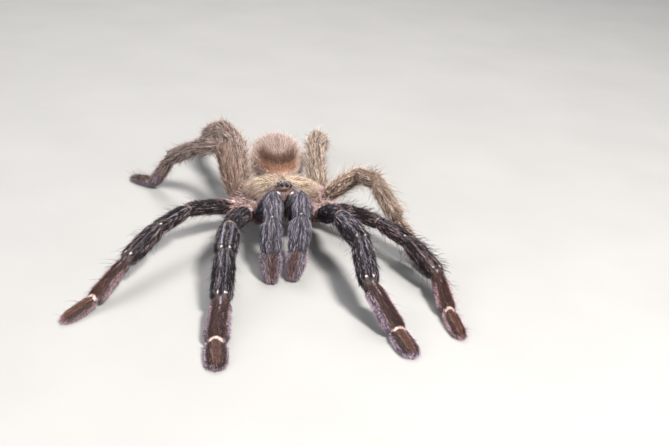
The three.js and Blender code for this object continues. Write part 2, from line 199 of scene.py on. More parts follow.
def colour(name):
    """A named colour as linear RGB."""
    srgb = np.array(COLOURS[name]) / 255
    return np.where(srgb <= 0.04045, srgb / 12.92, ((srgb + 0.055) / 1.055) ** 2.4)


# ---------- Small helpers ----------


def unit(vectors):
    return vectors / np.maximum(np.linalg.norm(vectors, axis=-1, keepdims=True), 1e-9)


def smooth(value, low, high):
    """0 below low, 1 above high, and smooth between; it falls where low is over high."""
    share = np.clip((value - low) / (high - low), 0, 1)
    return share * share * (3 - 2 * share)


def window(value, low, high, soft):
    """1 between low and high, 0 outside, with soft edges."""
    return smooth(value, low - soft, low + soft) * smooth(value, high + soft, high - soft)


def curve(points, at):
    """A smooth curve through points, read at the places given."""
    x, y = np.array(points, float).T
    slope = np.gradient(y, x)
    at = np.clip(at, x[0], x[-1])
    left = np.clip(np.searchsorted(x, at) - 1, 0, len(x) - 2)
    step = x[left + 1] - x[left]
    t = (at - x[left]) / step
    rise = y[left] * (1 + 2 * t) * (1 - t) ** 2 + y[left + 1] * t * t * (3 - 2 * t)
    return rise + step * t * (1 - t) * (slope[left] * (1 - t) - slope[left + 1] * t)


def mix(first, second, amount):
    amount = np.asarray(amount, float)[..., None]
    return first * (1 - amount) + second * amount


def axes_of(way):
    """A direction's own unit vector, the level one across it and the one above both."""
    along = unit(way)
    across = unit(np.cross(along, (0, 0, 1)))
    return along, across, np.cross(across, along)


def turned_x(points, degrees):
    angle = np.radians(degrees)
    x, y, z = np.moveaxis(points, -1, 0)
    return np.stack([x, y * np.cos(angle) - z * np.sin(angle), y * np.sin(angle) + z * np.cos(angle)], -1)


def from_prosoma(points):
    """From the prosoma's own level frame to the spider's."""
    return turned_x(points, -PROSOMA_NOSE_UP) + np.array([0, 0, PROSOMA_HEIGHT])


low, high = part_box("abdomen")
ORIGIN = np.array([(low.x + high.x) / 2 / MM, (low.y + high.y) / 2 / MM - ABDOMEN["y"], 0])


def place(points):
    """From millimetres in the spider's frame to metres in the row frame."""
    return (points + ORIGIN) * MM


# ---------- Camera and light ----------


def add_object(name, data, material=None):
    """A new object in the scene."""
    item = bpy.data.objects.new(name, data)
    bpy.context.scene.collection.objects.link(item)
    if material:
        data.materials.append(material)
    return item


def aim(item, right, up, back, spot):
    """Puts a camera or lamp at a spot, looking away from back."""
    axes = np.stack([right, up, back], 1)
    item.matrix_world = Matrix([[*row, where] for row, where in zip(axes, spot)] + [[0, 0, 0, 1]])


def add_camera():
    azimuth, elevation, roll = np.radians([CAMERA[k] for k in ("azimuth", "elevation", "roll")])
    level = np.cos(elevation)
    back = np.array([-np.sin(azimuth) * level, -np.cos(azimuth) * level, np.sin(elevation)])
    right = unit(np.cross(-back, (0, 0, 1)))
    up = np.cross(right, -back)
    data = bpy.data.cameras.new("camera")
    data.sensor_width = SENSOR
    data.lens = SENSOR * FOCAL_PIXELS / IMAGE_WIDTH
    data.clip_start = 0.005
    camera = add_object("camera", data)
    aim(camera, np.cos(roll) * right + np.sin(roll) * up, np.cos(roll) * up - np.sin(roll) * right, back,
        place(np.array(CAMERA["target"]) + CAMERA["distance"] * back))
    bpy.context.scene.camera = camera


def add_lamp(name, spot, size, power, tint):
    """A round lamp that shines on the origin."""
    data = bpy.data.lights.new(name, "AREA")
    data.shape = "DISK"
    data.size = size
    data.energy = power
    data.color = tint
    back = unit(np.array(spot))
    right = unit(np.cross((0.0, 1.0, 0.0), back))
    aim(add_object(name, data), right, np.cross(back, right), back, spot)


def add_lights():
    """A soft studio: a key lamp from the front right, a fill, a rim lamp behind and a pale world."""
    add_lamp("key", (0.13, -0.26, 0.34), 0.08, 3.5, (1.0, 0.97, 0.94))
    add_lamp("fill", (-0.35, -0.3, 0.22), 0.3, 1.3, (0.94, 0.96, 1.0))
    add_lamp("rim", (0.0, 0.24, 0.36), 0.2, 1.1, (1.0, 0.97, 0.96))
    world = bpy.data.worlds.new("studio")
    world.use_nodes = True
    backdrop = world.node_tree.nodes["Background"]
    backdrop.inputs["Color"].default_value = (0.82, 0.85, 0.9, 1)
    backdrop.inputs["Strength"].default_value = 0.32
    bpy.context.scene.world = world
    bpy.context.scene.view_settings.view_transform = "Standard"


# ---------- Materials ----------


def node(tree, kind, output, settings=None, **inputs):
    """Adds a shader node, sets or links its inputs and gives one of its outputs."""
    added = tree.nodes.new("ShaderNode" + kind)
    for name, value in (settings or {}).items():
        setattr(added, name, value)
    for name, value in inputs.items():
        socket = added.inputs[name.replace("_", " ")]
        if isinstance(value, bpy.types.NodeSocket):
            tree.links.new(value, socket)
        else:
            socket.default_value = value
    return added.outputs[output]


def noise(tree, scale, detail, stretch=(1, 1, 1)):
    """Noise in the object's own metres."""
    where = node(tree, "Mapping", "Vector", Vector=node(tree, "TexCoord", "Object"), Scale=stretch)
    return node(tree, "TexNoise", "Fac", Vector=where, Scale=scale, Detail=detail)


def grained(name, base, scale, detail, contrast, **settings):
    """A material with a Principled shader, whose uniform values are set on its own sockets. Its base is a
    vertex colour or a plain one, and a fine grain makes it darker and lighter by the contrast."""
    material = bpy.data.materials.new(name)
    material.use_nodes = True
    tree = material.node_tree
    shader = tree.nodes["Principled BSDF"]
    for socket, value in settings.items():
        shader.inputs[socket.replace("_", " ")].default_value = value
    grain = node(tree, "MapRange", "Result", Value=noise(tree, scale, detail), From_Min=0.3, From_Max=0.7,
                 To_Min=1 - contrast, To_Max=1 + contrast)
    if isinstance(base, str):
        tone = node(tree, "Attribute", "Color", {"attribute_name": base})
    else:
        tone = node(tree, "RGB", "Color")
        tone.default_value = (*base, 1)
    shaded = node(tree, "VectorMath", "Vector", {"operation": "SCALE"}, Vector=tone, Scale=grain)
    tree.links.new(shaded, shader.inputs["Base Color"])
    return material, tree, shader


def add_bump(tree, shader, height, depth, strength):
    bump = node(tree, "Bump", "Normal", Height=height, Distance=depth, Strength=strength)
    tree.links.new(bump, shader.inputs["Normal"])


def coat_material():
    """Hair: each tuft's own colour, with a soft lilac-grey sheen."""
    return grained("hair", "coat", 2600, 3, 0.28, Roughness=0.5, Sheen_Weight=0.1, Sheen_Roughness=0.35,
                   Sheen_Tint=(0.86, 0.82, 0.92, 1), Specular_IOR_Level=0.32)[0]


def skin_material():
    """Skin: its markings, fine bumps, and more gloss where it is bare."""
    material, tree, shader = grained("skin", "skin", 3200, 4, 0.3, Sheen_Weight=0.05)
    bare = node(tree, "Attribute", "Fac", {"attribute_name": "gloss"})
    roughness = node(tree, "MapRange", "Result", Value=bare, To_Min=0.7, To_Max=0.16)
    tree.links.new(roughness, shader.inputs["Roughness"])
    add_bump(tree, shader, noise(tree, 5200, 3), 0.00006, 0.5)
    return material


def lens_material():
    """The clear dark lens of an eye, a little brown deep inside."""
    return grained("lens", (0.006, 0.004, 0.004), 1800, 2, 0.6, Roughness=0.06, IOR=1.5)[0]


def horn_material():
    """Fangs and claws: polished black that turns deep red towards the light."""
    material, tree, shader = grained("horn", (0.022, 0.008, 0.006), 900, 3, 0.7, Roughness=0.16,
                                     Coat_Weight=0.5, Coat_Roughness=0.1)
    add_bump(tree, shader, noise(tree, 1500, 3, (1, 0.2, 1)), 0.00005, 0.3)
    return material


def floor_material():
    return grained("floor", (0.39, 0.386, 0.374), 40, 3, 0.03, Roughness=0.8)[0]


# ---------- Parts of the body: each one is a surface read by share (along it) and turn (round it) ----------


def pairs(shares, turns):
    """Each share with each turn, as two flat lists."""
    share, turn = np.meshgrid(shares, turns, indexing="ij")
    return share.ravel(), turn.ravel()


def closed(rings, columns, ends):
    """Vertices, quads and end triangles of rings of corners, closed by a fan to each end."""
    here = np.arange(len(rings) - columns)
    beside = here - here % columns + (here + 1) % columns
    quads = np.stack([here, beside, beside + columns, here + columns], 1)
    first = np.arange(columns)
    after = (first + 1) % columns
    last = len(here)
    tip = np.full_like(first, len(rings))
    caps = [np.stack([tip, after, first], 1), np.stack([tip + 1, last + first, last + after], 1)]
    return np.vstack([rings, ends]), quads, np.vstack(caps)


@dataclass
class Part:
    """A closed surface. at(share, turn) gives its points, core the middle behind each point, axis the
    way its hair points, and marks its colours. Zones pair the name of a coat with its weight."""

    name: str
    piece: str
    at: callable
    core: callable
    axis: callable
    marks: callable
    zones: list
    rows: int = 40
    columns: int = 40
    flow: callable = None

    def grid(self):
        """Vertices, quads and end triangles of the whole surface."""
        turns = np.arange(self.columns) / self.columns * 2 * np.pi
        rings = self.at(*pairs(np.linspace(0, 1, self.rows + 1), turns))
        ends = rings.reshape(self.rows + 1, self.columns, 3)[[0, -1]].mean(1)
        return closed(rings, self.columns, ends)

    def frame_at(self, share, turn):
        """Points, outward normals and the way that hair lies."""
        step = 1e-3
        points = self.at(share, turn)
        along = self.at(np.minimum(share + step, 1), turn) - self.at(np.maximum(share - step, 0), turn)
        around = self.at(share, turn + step) - self.at(share, turn - step)
        normal = unit(np.cross(around, along))
        outward = points - self.core(share, turn)
        normal *= np.sign(np.sum(normal * outward, 1, keepdims=True) + 1e-12)
        lie = along if self.axis is None else self.axis(points)
        lie = unit(lie - normal * np.sum(lie * normal, 1, keepdims=True))
        return points, normal, lie


def scatter(part, per_mm2, weight, rng):
    """Shares and turns of roots spread evenly over a part, thinned by a weight from 0 to 1."""
    rows, columns = 48, 36
    share, turn = pairs((np.arange(rows) + 0.5) / rows, (np.arange(columns) + 0.5) / columns * 2 * np.pi)
    along = part.at(share + 0.5 / rows, turn) - part.at(share - 0.5 / rows, turn)
    around = part.at(share, turn + np.pi / columns) - part.at(share, turn - np.pi / columns)
    reach = np.cumsum(np.linalg.norm(np.cross(along, around), axis=1) * per_mm2)
    count = int(reach[-1])
    cell = np.minimum(np.searchsorted(reach, np.arange(count) + rng.random(count)), rows * columns - 1)
    share = share[cell] + (rng.random(count) - 0.5) / rows
    turn = turn[cell] + (rng.random(count) - 0.5) * 2 * np.pi / columns
    kept = rng.random(count) < weight(share, turn)
    return share[kept], turn[kept]


# ---------- Marks: the colours of skin and hair, by share and turn ----------


def plain_marks(dark, pale, skin, gloss=0.0, picked=0.5):
    """Marks of one colour each for the dark and pale tufts and the skin. Picked is the share of the
    tufts that are pale, bare how much of the hair is missing, and length a factor on its length."""
    def marks(share, turn):
        one = np.ones_like(share)[:, None]
        nothing = np.zeros_like(share)
        return {"dark": colour(dark) * one, "pale": colour(pale) * one, "picked": nothing + picked,
                "skin": colour(skin) * one, "bare": nothing, "length": nothing + 1, "gloss": nothing + gloss}

    return marks


def blend(found, amount, **tones):
    """Mixes tones or named colours into some of the marks."""
    for name, tone in tones.items():
        found[name] = mix(found[name], colour(tone) if isinstance(tone, str) else tone, amount)


# ---------- Limbs ----------

COAT_GROUPS = {"palp": "palp", "leg_1": "front", "leg_2": "front", "leg_3": "rear", "leg_4": "rear"}
PALE_SHARES = {"palp": 0.42, "front": 0.2, "rear": 0.55}  # share of the tufts that are pale
FOOT_STRENGTHS = {"palp": 0.75, "front": 1.0, "rear": 0.6}  # how brown the top of a foot is
# How many long guard hairs each leg has, as a share of the coat "guard".
GUARD_SHARES = {"leg_2_right": 0.12, "leg_2_left": 0.9, "leg_3_right": 0.4, "leg_3_left": 1.0,
                "leg_4_right": 0.5, "leg_4_left": 0.5}
# How the hair of single legs, or of one of their segments, differs from its group's: partly its own colour
# (the browner second legs), partly painted light and shade: the legs on the spider's left are painted
# lighter, those on its right darker, and the femur of its right third leg carries a painted shadow.
COLOUR_AND_SHADE_TINTS = {
    "leg_1_right": (0.85, 0.82, 0.85), "leg_1_left": (1.2, 1.2, 1.28),
    "leg_2_right": (1.1, 0.96, 0.9), "leg_2_left": (1.15, 0.95, 0.88),
    "leg_3_right": (0.72, 0.71, 0.72), "leg_3_left": (1.05, 1.05, 0.98),
    "leg_4_right": (0.9, 0.88, 0.86), "leg_4_left": (1.05, 1.07, 1.0),
    "leg_3_right_femur": (0.6, 0.54, 0.5),
}
# Bare lines on the top: angle from the middle, half their width, and where they start and end.
BARE_LINES = {
    "femur": (17, 4, 0.1, 0.92),
    "patella": (24, 7, 0.08, 0.86),
    "tibia": (19, 3.5, 0.05, 0.9),
    "metatarsus": (0, 4, 0.02, 0.34),
}
# How strongly the bare lines of the front legs are painted with a pale highlight, by segment.
STRIPE_HIGHLIGHTS = {"patella": 1.0, "tibia": 0.6, "metatarsus": 0.8, "femur": 0.2}
# Where along a metatarsus the brush of its sole begins.
PAD_STARTS = {"palp": 0, "leg_1": 0.16, "leg_2": 0.24, "leg_3": 0.5, "leg_4": 0.7}
# How pale the skin is at the far joint of a segment, and where its hair ends there.
RING_STRENGTHS = {"femur": 0.6, "patella": 0.12, "tibia": 0.06, "metatarsus": 0.45, "tarsus": 0}
END_GAPS = {"femur": (0.95, 0.98), "patella": (0.95, 0.98), "tibia": (0.95, 0.98), "metatarsus": (0.94, 0.97)}
# Pale spots near the ends of segments: degrees to each side of the top.
SPOT_ANGLES = {("front", "patella"): 26, ("front", "tibia"): 26, ("palp", "patella"): 0}
SPOT_RADIUS = 0.15
# Bare knobs on the first two legs' hips: degrees from the top of the femur's base towards the body.
HIP_KNOBS = {"leg_1": 50, "leg_2": -5}
# How far the hips' colour runs onto a front femur.
HIP_END = 0.13
HIP_ENDS = {"leg_1_left": 0.18}


def limb_joints(limb, side, pose):
    """Joints from the hip to the tip, with the last ones down at their set heights."""
    turns, lifts, ankle = pose
    hip = np.array(HIPS[limb][1]) * (side, 1, 1)
    joints = [from_prosoma(hip)]
    for i, length in enumerate(LENGTHS[limb]):
        if i < len(lifts):
            rise = np.sin(np.radians(lifts[i]))
        elif i == len(LENGTHS[limb]) - 1:
            rise = (TOE_HEIGHT - joints[i][2]) / length
        else:
            rise = ankle / length - joints[i][2] / length
        flat = np.sqrt(1 - rise * rise)
        turn = np.radians(turns[i])
        joints.append(joints[i] + length * np.array([side * np.cos(turn) * flat, -np.sin(turn) * flat, rise]))
    return joints


def tube(start, end, before, after, half, outline, bow=0.0, floor=0.0):
    """The surface of a limb segment, with each end cut on the plane halfway to its neighbour."""
    length = np.linalg.norm(end - start)
    along = (end - start) / length
    across = unit(np.cross(along, (0, 0, 1)))
    up = np.cross(across, along)

    def slopes(neighbour):
        if neighbour is None:
            return 0.0, 0.0
        plane = unit(unit(neighbour) + along)
        return -plane @ across / (plane @ along), -plane @ up / (plane @ along)

    near, far = slopes(before), slopes(after)
    overlap = 0.2
    reach = 0.45

    def at(share, turn):
        girth = curve(outline, share)
        x = half[0] * girth * np.sin(turn)
        z = half[1] * girth * np.cos(turn)
        y = -overlap + share * (length + 2 * overlap)
        y = y + np.maximum(0, 1 - share / reach) * (near[0] * x + near[1] * z)
        y = y + np.maximum(0, 1 - (1 - share) / reach) * (far[0] * x + far[1] * z)
        z = z + bow * np.sin(np.pi * np.clip(share, 0, 1))
        points = start + x[:, None] * across + y[:, None] * along + z[:, None] * up
        points[:, 2] = np.maximum(points[:, 2], floor)
        return points

    def core(share, turn):
        return start + (share * length)[:, None] * along + (bow * np.sin(np.pi * share))[:, None] * up

    return at, core, lambda points: np.broadcast_to(along, points.shape)


def from_top(turn):
    """Degrees from the middle of a segment's top, to either side."""
    return np.degrees(np.abs((turn + np.pi) % (2 * np.pi) - np.pi))


def streaks(share, turn, seed):
    """Soft lengthwise streaks from 0 to 1, from a few waves round the part."""
    total = np.zeros_like(share)
    rng = np.random.default_rng(seed)
    for waves in (7, 13, 19, 29):
        total = total + np.sin(waves * turn + rng.uniform(0, 6.28) + rng.uniform(-4, 4) * share)
    return smooth(total, -2.2, 2.4)


def limb_looks(limb, segment, side_name, seed):
    """The markings of a limb segment, the same for its skin and its hair, and the coats that grow on it."""
    leg = f"{limb}_{side_name}"
    # The leg's tint: partly its own colour, partly painted light and shade.
    tint = np.array(COLOUR_AND_SHADE_TINTS.get(f"{leg}_{segment}", COLOUR_AND_SHADE_TINTS.get(leg, (1, 1, 1))))
    outwards = -SIDES[side_name]
    hip_end = HIP_ENDS.get(leg, HIP_END)
    group = COAT_GROUPS[limb]
    palp, last, ankle = limb == "palp", segment == "tarsus", segment == "metatarsus"
    foot = last or (ankle and group == "front")
    spot_angle = SPOT_ANGLES.get((group, segment))
    previous = LEG_SEGMENTS[max(LEG_SEGMENTS.index(segment) - 1, 0)]

    def bare_line(share, turn, wider=0.0):
        if palp or segment not in BARE_LINES:
            return np.zeros_like(share)
        centre, half_width, start, end = BARE_LINES[segment]
        off = np.abs(from_top(turn) - centre)
        narrowed = (half_width + wider) * (1 - 0.35 * share)
        return smooth(off, narrowed + 1.5, narrowed - 1.5) * window(share, start, end, 0.03)

    def pad(share, turn):
        """How much of a spot belongs to the brush of pale hair on the sides and sole of a foot."""
        if not (last or ankle):
            return np.zeros_like(share)
        start = PAD_STARTS[limb] if ankle else -0.1
        edge = smooth(from_top(turn), *((60, 67) if last and not palp else (40, 54)))
        tip = smooth(share, *((0.78, 0.88) if palp else (0.88, 0.93))) if last else 0
        return np.maximum(edge, tip) * smooth(share, start, start + 0.05)

    def marks(share, turn):
        found = plain_marks(f"{group}_dark", f"{group}_pale", f"{group}_skin")(share, turn)
        angle = from_top(turn)
        picked = PALE_SHARES[group] * (0.35 + 1.3 * streaks(share, turn, seed))
        # Painted shade: the palp's femur, in shadow beside its patella, gets few pale tufts.
        if palp and segment == "femur":
            picked = picked * 0.2
        if foot:  # brown on top, with two pale lines on a leg's last segment
            edge = 27 if palp else 64
            strength = FOOT_STRENGTHS[group] * smooth(angle, edge + 12, edge - 8)
            if palp:
                blend(found, 0.8, dark="palp_foot")
            rust = smooth(angle, 24, 16) if last else 0.5 * streaks(share, turn, seed + 1)
            brown = mix(colour("foot_dark"), colour("foot_rust"), rust)
            blend(found, strength, dark=brown, pale="foot_tan", skin="foot_skin")
            picked = picked * (1 - 0.8 * strength)
            if last:
                lines = window(angle, 22 - 8 * share, 31 - 10 * share, 3) * window(share, 0.06, 0.8, 0.05)
                picked = np.maximum(picked, lines * strength)
        if group == "front" and segment == "femur":
            hip = smooth(share, hip_end + 0.03, hip_end - 0.03)
            blend(found, hip, dark="coxa_dark", pale="coxa_pale", skin="coxa_skin")
            picked = np.maximum(picked, 0.5 * hip)
        brush = pad(share, turn)
        blend(found, brush, dark="scopula_dark", pale="scopula")
        line = bare_line(share, turn)
        outer = smooth(outwards * np.sin(turn), -0.1, 0.1)
        # A bare line's skin: brown on the rear legs, dark slate on the front ones, painted there towards a
        # pale highlight, most on each leg's outer side.
        tone = colour("rear_stripe")
        if group != "rear":
            painted_highlight = STRIPE_HIGHLIGHTS.get(segment, 0) * (0.2 + 0.8 * outer)
            tone = mix(colour("stripe"), colour("stripe_painted_highlight"), painted_highlight)
        blend(found, line, skin=tone)
        # Bare rings at the joints.
        end_ring = 0 * share if last else smooth(share, 0.955, 0.975)
        start_ring = smooth(share, 0.045, 0.025)
        ring = np.maximum(RING_STRENGTHS[segment] * end_ring, RING_STRENGTHS[previous] * start_ring)
        if not palp:
            blend(found, ring * smooth(angle, 84, 60), skin="membrane")
        end_gap = 0 * share if last else smooth(share, *END_GAPS[segment])
        bare = [0.85 * bare_line(share, turn, 2), end_gap, start_ring]
        if spot_angle is not None:
            off = np.abs(angle - spot_angle)
            spots = smooth(off, 8, 5) * window(share, 0.915, 0.955, 0.01)
            blend(found, (0.8 if palp else 1) * spots, skin="spot")
            bare.append(smooth(off, 12, 8) * window(share, 0.88, 0.96, 0.012))
            if palp:
                bare.append(0.9 * smooth(angle, 16, 8) * window(share, 0.76, 0.99, 0.02))
        # Hair is shorter towards the joints, and darker there with painted shade where the segments meet.
        ends = np.maximum(0 * share if last else smooth(share, 0.8, 0.98), smooth(share, 0.1, 0.02))
        shadow = (1 - 0.5 * ends)[:, None] * tint
        found.update(dark=found["dark"] * shadow, pale=found["pale"] * shadow, length=1 - 0.55 * ends,
                     picked=picked * (1 - brush) + 0.5 * brush, bare=np.maximum.reduce(bare),
                     gloss=np.maximum(line * (0.3 + 0.7 * outer), 0.35 * ring))
        return found

    name = f"{group}_{segment}"
    zones = [(name if name in COATS else group, lambda share, turn: 1 - pad(share, turn))]
    guards = GUARD_SHARES.get(leg)
    if guards:
        zones.append(("guard", lambda share, turn: guards * smooth(outwards * np.sin(turn), -1, 0.5)
                      * (1 - pad(share, turn))))
    if last or ankle:
        zones.append(("pad", pad))
    return marks, zones


def bare_part(name, shape, tone):
    """A fold or knob of pale bare skin."""
    return Part(name, None, *shape, plain_marks(tone, tone, tone, 0.5), [], 16, 12)


def knob(name, spot, half, tone):
    """A small egg of bare skin, half sunk into the part that it is on."""
    return bare_part(name, egg(spot, half, prosoma=False), tone)


def fold(joint, before, after, half):
    """The pale fold of skin across the top of an ankle: an arch, thickest in its middle."""
    along, across, up = axes_of(unit(before) + unit(after))
    arc = np.radians(68)
    inset = 0.86
    thick, high, sweep, forward = 0.2, 0.22, 1.7, -0.1

    def middle(share):
        off = (2 * share - 1) * arc
        radial = (np.sin(off) * half[0] * inset)[:, None] * across
        radial = radial + (np.cos(off) * half[1] * inset)[:, None] * up
        return joint + radial + (forward + sweep * (2 * share - 1) ** 2)[:, None] * along, unit(radial)

    def at(share, turn):
        centre, out = middle(share)
        fade = np.maximum(1 - (2 * share - 1) ** 2, 0.02)[:, None]
        return centre + fade * (high * np.cos(turn)[:, None] * out + thick * np.sin(turn)[:, None] * along)

    return at, lambda share, turn: middle(share)[0], None


def limb_parts():
    parts = []
    for side_name, side in SIDES.items():
        for limb in HIPS:
            key = f"{limb}_{side_name}"
            joints = limb_joints(limb, side, POSES[key])
            names = PALP_SEGMENTS if limb == "palp" else LEG_SEGMENTS
            ways = [end - start for start, end in zip(joints, joints[1:])]
            for i, segment in enumerate(names):
                half = [girth / 2 - COAT_DEPTH[segment] for girth in GIRTHS[limb][i]]
                before = ways[i - 1] if i else None
                after = ways[i + 1] if i + 1 < len(ways) else None
                shape = tube(joints[i], joints[i + 1], before, after, half,
                             OUTLINES.get(f"{limb}_{segment}", OUTLINES[segment]),
                             bow=FEMUR_BOW if segment == "femur" else 0,
                             floor=PAD_HEIGHT if segment in ("metatarsus", "tarsus") else 0)
                looks = limb_looks(limb, segment, side_name, len(parts))
                parts.append(Part(f"{key}_{segment}", f"coat_{key}", *shape, *looks))
                at = shape[0]
                if segment == "femur" and limb in HIP_KNOBS:
                    spot = at(np.array([0.05]), np.radians([side * HIP_KNOBS[limb]]))[0]
                    parts.append(knob(f"{key}_hip_knob", spot, (0.5, 0.4, 0.35), "hip_knob"))
                if (COAT_GROUPS[limb], segment) in SPOT_ANGLES and limb != "palp":
                    spot_angle = SPOT_ANGLES[COAT_GROUPS[limb], segment]
                    spots = at(np.array([0.93, 0.93]), np.radians([-spot_angle, spot_angle]))
                    for number, spot in enumerate(spots):
                        parts.append(knob(f"{key}_{segment}_knob_{number}", spot, (SPOT_RADIUS,) * 3, "spot"))
                if segment == "metatarsus":
                    shape = fold(joints[i + 1], ways[i], after, half)
                    parts.append(bare_part(f"{key}_fold", shape, "membrane"))
    return parts


# ---------- Body ----------

FOVEA = (0, 1.6)
GROOVES = (38, 74, 112, 148)  # headings of the carapace's grooves from straight ahead, in degrees


def carapace_height(x, y):
    """How far the grooves and the fovea lower the carapace."""
    off = np.stack([x, y], -1) - FOVEA
    reach = np.hypot(off[..., 0], off[..., 1])
    heading = np.degrees(np.arctan2(np.abs(off[..., 0]), -off[..., 1]))
    depth = 0.45 * np.exp(-((off[..., 0] / 0.8) ** 2) - (off[..., 1] / 0.35) ** 2)
    for groove in GROOVES:
        width = np.radians(heading - groove) * reach
        strength = 0.4 if groove == GROOVES[0] else 0.2
        depth = depth + strength * np.exp(-((width / 0.45) ** 2)) * window(reach, 1.6, 6.2, 0.8)
    return depth


def carapace_at(share, turn):
    lean = np.pi * share
    x, y, z = np.sin(lean) * np.sin(turn), -np.sin(lean) * np.cos(turn), np.cos(lean)
    reach = np.hypot(x, y)
    power = CARAPACE["squareness"]
    square = (np.abs(x) ** power + np.abs(y) ** power) ** (1 / power)
    spread = np.where(square > 1e-6, reach / np.maximum(square, 1e-6), 1)
    across, back = x * spread, y * spread
    coat = BODY_COAT["carapace"]
    narrow = 1 - CARAPACE["head_narrowing"] * smooth(-back, -0.1, 0.85)
    width = across * (CARAPACE["half_width"] * narrow - coat)
    length = back * (CARAPACE["half_length"] - coat)
    crest = curve(list(enumerate(CREST)), (back + 1) / 2 * (len(CREST) - 1)) - coat
    top = crest * np.maximum(z, 0) ** 0.9 - carapace_height(width, length) * (z > 0)
    height = np.where(z > 0, top, z * CARAPACE["rim"])
    return from_prosoma(np.stack([width, length, height], -1))


def carapace_marks(share, turn):
    """Pinkish gold hair, pinker and painted lighter against shade at the sides, paler round the eyes, rust
    red above the jaws.
    """
    points = carapace_at(share, turn)
    found = plain_marks("carapace_dark", "carapace_pale", "carapace_skin")(share, turn)
    off = points[:, :2] - from_prosoma((*FOVEA, 0))[:2]
    # The sides: pinker hair, and painted light against their shade, with more pale tufts and much lighter
    # dark ones.
    sides = smooth(np.hypot(off[:, 0], 0.6 * off[:, 1]), 4.0, 6.8)
    found["picked"] = 0.4 + 0.4 * streaks(share, turn * 2.5, 5) + 0.2 * sides
    blend(found, 0.8 * sides, pale="carapace_side_pinker_and_lit", dark=colour("carapace_side_pinker_and_lit") * 0.78)
    mound = from_prosoma((0, TUBERCLE["y"], TUBERCLE["z"] - 0.8))
    from_mound = np.linalg.norm(points - mound, axis=1)
    blend(found, smooth(from_mound, 3.3, 2.1), pale="eye_hair")
    face = brow(share, turn)
    blend(found, face, pale="clypeus", skin=colour("clypeus") * 0.8)
    low = face * smooth(points[:, 2], PROSOMA_HEIGHT + 3.3, PROSOMA_HEIGHT + 2.7)
    low = low * smooth(np.abs(points[:, 0]), 2.2, 1.4)
    red = colour("face_red")
    blend(found, low, dark=red * 0.5, pale=red * 1.3, skin=red * 0.5)
    found["bare"] = 1 - between_eyes(points, 1.9)
    found["length"] = found["length"] - 0.35 * smooth(from_mound, 3.0, 2.0)
    return found


HAIR_SWEEP = 0.18  # how much less the carapace's hair runs forwards than sideways


def from_fovea(points):
    """Hair on the carapace points away from the fovea, and more to the sides on the head."""
    return (points - from_prosoma((*FOVEA, 2.0))) * (1, HAIR_SWEEP, 1)


def carapace_flow(points):
    """Places across and along the lines that the carapace's hair follows, in millimetres."""
    off = points - from_prosoma((*FOVEA, 2.0))
    aside = np.abs(off[:, 0]) + 0.3
    across = off[:, 1] * (4.0 / aside) ** HAIR_SWEEP + 20 * (off[:, 0] > 0) + 50
    return across, aside + 0.5 * np.abs(off[:, 1])


def brow(share, turn):
    """The front edge of the carapace, over the face, where the hair is short."""
    points = carapace_at(share, turn)
    return smooth(points[:, 1], -6.4, -7.2) * smooth(np.abs(points[:, 0]), 3.8, 3.0)


def abdomen_at(share, turn):
    lean = np.pi * share
    half = np.array(ABDOMEN["half"]) - BODY_COAT["abdomen"]
    back = -np.cos(lean)
    fat = 1 + ABDOMEN["swell"] * back
    x = half[0] * fat * np.sin(lean) * np.sin(turn)
    z = half[2] * fat * np.sin(lean) * np.cos(turn)
    return np.stack([x, back * half[1] + ABDOMEN["y"], z + ABDOMEN["z"]], -1)


def abdomen_spots(points):
    """Places on the abdomen from -1 to 1 across, along and up it."""
    return ((points - (0, ABDOMEN["y"], ABDOMEN["z"])) / ABDOMEN["half"]).T


def abdomen_marks(share, turn):
    """Pinkish grey hair, with an orange-brown patch in front under a darker saddle."""
    x, y, z = abdomen_spots(abdomen_at(share, turn))
    found = plain_marks("abdomen_dark", "abdomen_pale", "abdomen_skin")(share, turn)
    front = smooth(y, 0.0, -0.45) * smooth(np.abs(x), 0.78, 0.5)
    saddle = front * window(z, 0.34, 0.62, 0.1)
    patch = front * window(z, 0.12, 0.38, 0.1)
    for name, amount in (("abdomen_orange", 0.75 * patch), ("abdomen_brown", 0.95 * saddle)):
        blend(found, amount, pale=name, dark=colour(name) * 0.7, skin=name)
    flank = smooth(np.abs(x), 0.6, 0.9)
    blend(found, 0.6 * flank, dark="abdomen_pale")
    pale = 0.35 + 0.35 * streaks(share, turn * 2, 9) + 0.3 * flank
    found["picked"] = pale * (1 - 0.85 * np.maximum(saddle, 0.6 * patch))
    return found


def over_abdomen(points):
    """Hair on the abdomen points up in front, back on top and down behind."""
    rise = 0.75 - 0.65 * (points[:, 1] - ABDOMEN["y"]) / ABDOMEN["half"][1]
    return np.stack([0 * rise, 0 * rise + 0.6, rise - 0.6], -1)


def abdomen_front(share, turn):
    return smooth(abdomen_spots(abdomen_at(share, turn))[1], -0.1, -0.5)


def fixed(point):
    """A core that is one point."""
    return lambda share, turn: np.broadcast_to(point, (len(share), 3))


def egg(centre, half, droop=0.0, taper=0.0, prosoma=True):
    """An egg-shaped body along Y, read from its rear to its front, and thinner in the rear by the taper."""
    centre, half = np.array(centre, float), np.array(half, float)

    def at(share, turn):
        lean = np.pi * share
        fore = np.cos(lean)
        fat = 1 - taper * fore
        points = np.stack([half[0] * fat * np.sin(lean) * np.sin(turn), half[1] * fore,
                           half[2] * fat * np.sin(lean) * np.cos(turn)], -1)
        points = turned_x(points, droop) + centre
        return from_prosoma(points) if prosoma else points

    return at, fixed(from_prosoma(centre) if prosoma else centre), None


